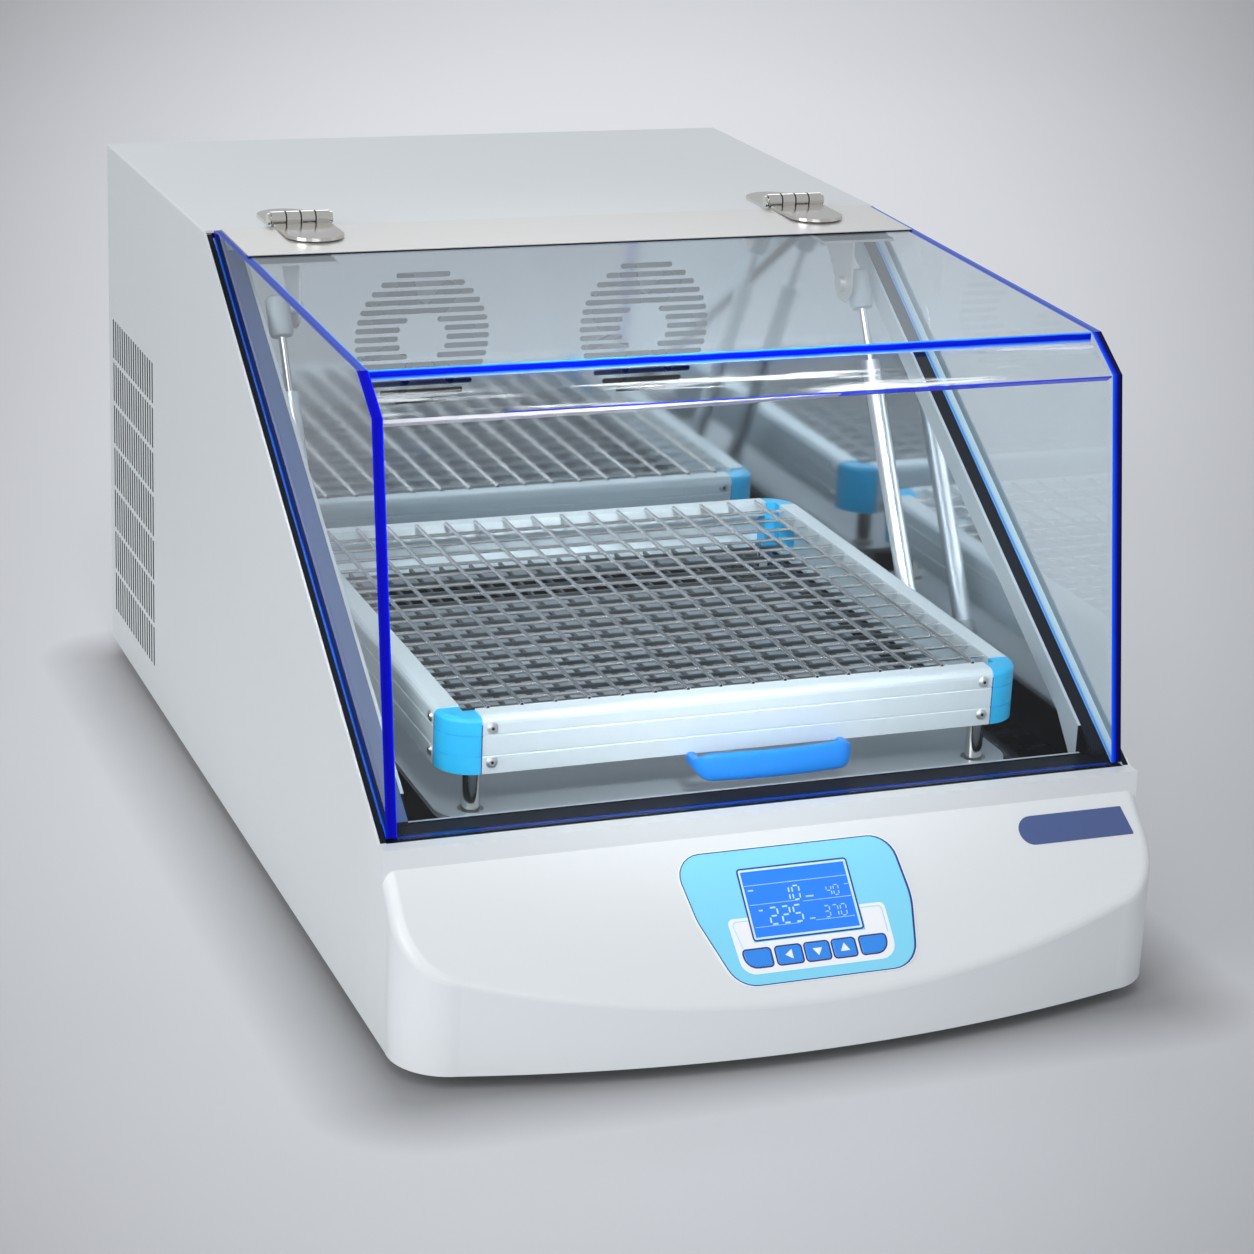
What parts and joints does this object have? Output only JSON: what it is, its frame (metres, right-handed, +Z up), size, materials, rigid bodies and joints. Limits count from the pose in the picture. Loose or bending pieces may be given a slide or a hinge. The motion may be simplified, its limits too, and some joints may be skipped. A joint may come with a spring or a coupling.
{
  "type": "shaking incubator",
  "caption": "Benchtop shaking incubator with a hinged clear lid on gas struts, an orbiting lift-out flask tray and a sloping control panel.",
  "frame": {"origin": "on the supporting surface, under the middle of the bounding box", "axes": "+X to the operator's right, +Y from the control panel to the back, +Z up"},
  "size_m": [0.5806, 0.968, 0.487],
  "materials": {
    "belt_rubber": "matt",
    "black_plastic": "satin",
    "black_rubber": "matt",
    "blue_plastic": "satin blue",
    "board_green": "solder mask",
    "clear_acrylic": "polished, blue cut edges",
    "dark_floor": "gloss dark coat",
    "dark_steel": "black enamel",
    "display_blue": "backlit window",
    "fascia_plastic": "satin light grey moulding",
    "fin_aluminium": "bare",
    "grey_trim": "satin",
    "hinge_steel": "polished",
    "key_blue": "satin",
    "mirror_steel": "polished",
    "painted_steel": "satin light grey powder coat",
    "panel_film": "printed film",
    "plate_aluminium": "satin anodised",
    "rear_steel": "satin light grey powder coat",
    "strip_steel": "brushed lengthways",
    "strut_rod": "polished",
    "strut_tube": "satin grey",
    "tray_aluminium": "satin anodised",
    "wire_steel": "drawn wire",
    "zinc_steel": "zinc plated"
  },
  "bodies": {
    "root": {"base_pan": "zinc_steel", "rubber_feet": "black_rubber", "outer_cover": "painted_steel", "rear_panel": "rear_steel", "front_fascia": "fascia_plastic", "control_overlay": "panel_film", "display_window": "display_blue", "control_board": "board_green", "mains_inlet": "black_plastic", "chamber_floor": "dark_floor", "chamber_side_walls": "mirror_steel", "chamber_back_wall": "mirror_steel", "plenum_panel": "zinc_steel", "opening_lip": "grey_trim", "lid_gasket": "black_rubber", "fan_motors": "black_plastic", "hinge_leaves_body": "hinge_steel", "hinge_pins": "hinge_steel", "drive_frame": "zinc_steel", "spindle_bearings": "hinge_steel", "drive_motor": "dark_steel", "drive_belt": "belt_rubber", "compressor": "dark_steel", "condenser_coil": "fin_aluminium", "condenser_shroud": "black_plastic", "evaporator_coil": "fin_aluminium", "heater_element": "hinge_steel", "power_supply": "zinc_steel"},
    "lid": {"lid_top_sheet": "clear_acrylic", "lid_front_sheet": "clear_acrylic", "lid_side_sheets": "clear_acrylic", "lid_top_strip": "strip_steel", "hinge_leaves_lid": "hinge_steel", "strut_brackets": "strip_steel"},
    "strut_cylinder_left": {"strut_cylinder_left": "strut_tube"},
    "strut_cylinder_right": {"strut_cylinder_right": "strut_tube"},
    "strut_rod_left": {"strut_rod_left": "strut_rod"},
    "strut_rod_right": {"strut_rod_right": "strut_rod"},
    "crank": {"crank_spindle": "hinge_steel", "flywheel_pulley": "zinc_steel"},
    "motor_rotor": {"motor_pulley": "fin_aluminium"},
    "platform": {"platform_plate": "plate_aluminium"},
    "tray": {"tray_rails": "tray_aluminium", "tray_corners": "blue_plastic", "tray_springs": "wire_steel", "tray_mesh": "wire_steel", "tray_posts": "hinge_steel", "tray_handle": "blue_plastic"},
    "power_rocker": {"power_rocker": "black_plastic"},
    "fan_left": {"fan_rotor_left": "black_plastic"},
    "fan_right": {"fan_rotor_right": "black_plastic"},
    "condenser_fan": {"condenser_fan": "black_plastic"},
    "idler_1": {"idler_crank_1": "zinc_steel"},
    "idler_2": {"idler_crank_2": "zinc_steel"},
    "idler_3": {"idler_crank_3": "zinc_steel"},
    "key_1": {"key_1": "key_blue"},
    "key_2": {"key_2": "key_blue"},
    "key_3": {"key_3": "key_blue"},
    "key_4": {"key_4": "key_blue"},
    "key_5": {"key_5": "key_blue"}
  },
  "joints": [
    {"name": "lid_hinge", "type": "hinge", "parent": "root", "child": "lid", "pos_m": [0, 0.119, 0.481], "axis": [-1, 0, 0], "range_deg": [0, 60]},
    {"name": "platform_crank", "type": "hinge", "parent": "root", "child": "crank", "pos_m": [0, -0.0905, 0.06], "axis": [0, 0, 1], "continuous": true},
    {"name": "platform_pin", "type": "hinge", "parent": "crank", "child": "platform", "pos_m": [0, -0.1005, 0.13], "axis": [0, 0, 1], "continuous": true},
    {"name": "motor_shaft", "type": "hinge", "parent": "root", "child": "motor_rotor", "pos_m": [0.165, -0.0905, 0.06], "axis": [0, 0, 1], "continuous": true},
    {"name": "tray_lift", "type": "slide", "parent": "platform", "child": "tray", "axis": [0, 0, 1], "range_m": [0, 0.04]},
    {"name": "power_switch", "type": "hinge", "parent": "root", "child": "power_rocker", "pos_m": [0.14, 0.478, 0.082], "axis": [1, 0, 0], "range_deg": [0, 12]},
    {"name": "fan_left_spin", "type": "hinge", "parent": "root", "child": "fan_left", "pos_m": [-0.098, 0.167, 0.369], "axis": [0, 1, 0], "continuous": true},
    {"name": "fan_right_spin", "type": "hinge", "parent": "root", "child": "fan_right", "pos_m": [0.098, 0.167, 0.369], "axis": [0, 1, 0], "continuous": true},
    {"name": "condenser_fan_spin", "type": "hinge", "parent": "root", "child": "condenser_fan", "pos_m": [-0.224, 0.387, 0.182], "axis": [1, 0, 0], "continuous": true},
    {"name": "idler_1_spin", "type": "hinge", "parent": "root", "child": "idler_1", "pos_m": [-0.15, 0.0095, 0.08], "axis": [0, 0, 1], "continuous": true},
    {"name": "idler_2_spin", "type": "hinge", "parent": "root", "child": "idler_2", "pos_m": [0.15, 0.0095, 0.08], "axis": [0, 0, 1], "continuous": true},
    {"name": "idler_3_spin", "type": "hinge", "parent": "root", "child": "idler_3", "pos_m": [0, -0.2305, 0.08], "axis": [0, 0, 1], "continuous": true},
    {"name": "strut_left_tilt", "type": "hinge", "parent": "root", "child": "strut_cylinder_left", "pos_m": [-0.247, -0.101, 0.157], "axis": [1, 0, 0], "range_deg": [0, 8.86]},
    {"name": "strut_left_slide", "type": "slide", "parent": "strut_cylinder_left", "child": "strut_rod_left", "axis": [0, 0.4996, 0.8662], "range_m": [0, 0.07084]},
    {"name": "strut_right_tilt", "type": "hinge", "parent": "root", "child": "strut_cylinder_right", "pos_m": [0.247, -0.101, 0.157], "axis": [1, 0, 0], "range_deg": [0, 8.86]},
    {"name": "strut_right_slide", "type": "slide", "parent": "strut_cylinder_right", "child": "strut_rod_right", "axis": [0, 0.4996, 0.8662], "range_m": [0, 0.07084]},
    {"name": "key_1_press", "type": "slide", "parent": "root", "child": "key_1", "axis": [0, 0.7034, -0.7108], "range_m": [0, 0.0006], "stiffness_N_per_m": 1000, "springref_m": -0.0005},
    {"name": "key_2_press", "type": "slide", "parent": "root", "child": "key_2", "axis": [0, 0.7034, -0.7108], "range_m": [0, 0.0006], "stiffness_N_per_m": 1000, "springref_m": -0.0005},
    {"name": "key_3_press", "type": "slide", "parent": "root", "child": "key_3", "axis": [0, 0.7034, -0.7108], "range_m": [0, 0.0006], "stiffness_N_per_m": 1000, "springref_m": -0.0005},
    {"name": "key_4_press", "type": "slide", "parent": "root", "child": "key_4", "axis": [0, 0.7034, -0.7108], "range_m": [0, 0.0006], "stiffness_N_per_m": 1000, "springref_m": -0.0005},
    {"name": "key_5_press", "type": "slide", "parent": "root", "child": "key_5", "axis": [0, 0.7034, -0.7108], "range_m": [0, 0.0006], "stiffness_N_per_m": 1000, "springref_m": -0.0005}
  ],
  "couplings": [
    {"joint": "platform_pin", "follows": "platform_crank", "ratio": -1},
    {"joint": "motor_shaft", "follows": "platform_crank", "ratio": 3},
    {"joint": "idler_1_spin", "follows": "platform_crank", "ratio": 1},
    {"joint": "idler_2_spin", "follows": "platform_crank", "ratio": 1},
    {"joint": "idler_3_spin", "follows": "platform_crank", "ratio": 1},
    {"joint": "strut_left_tilt", "follows": "lid_hinge", "ratio": 0.14426},
    {"joint": "strut_left_slide", "follows": "lid_hinge", "m_per_rad": 0.067166},
    {"joint": "strut_right_tilt", "follows": "lid_hinge", "ratio": 0.14426},
    {"joint": "strut_right_slide", "follows": "lid_hinge", "m_per_rad": 0.067166}
  ]
}
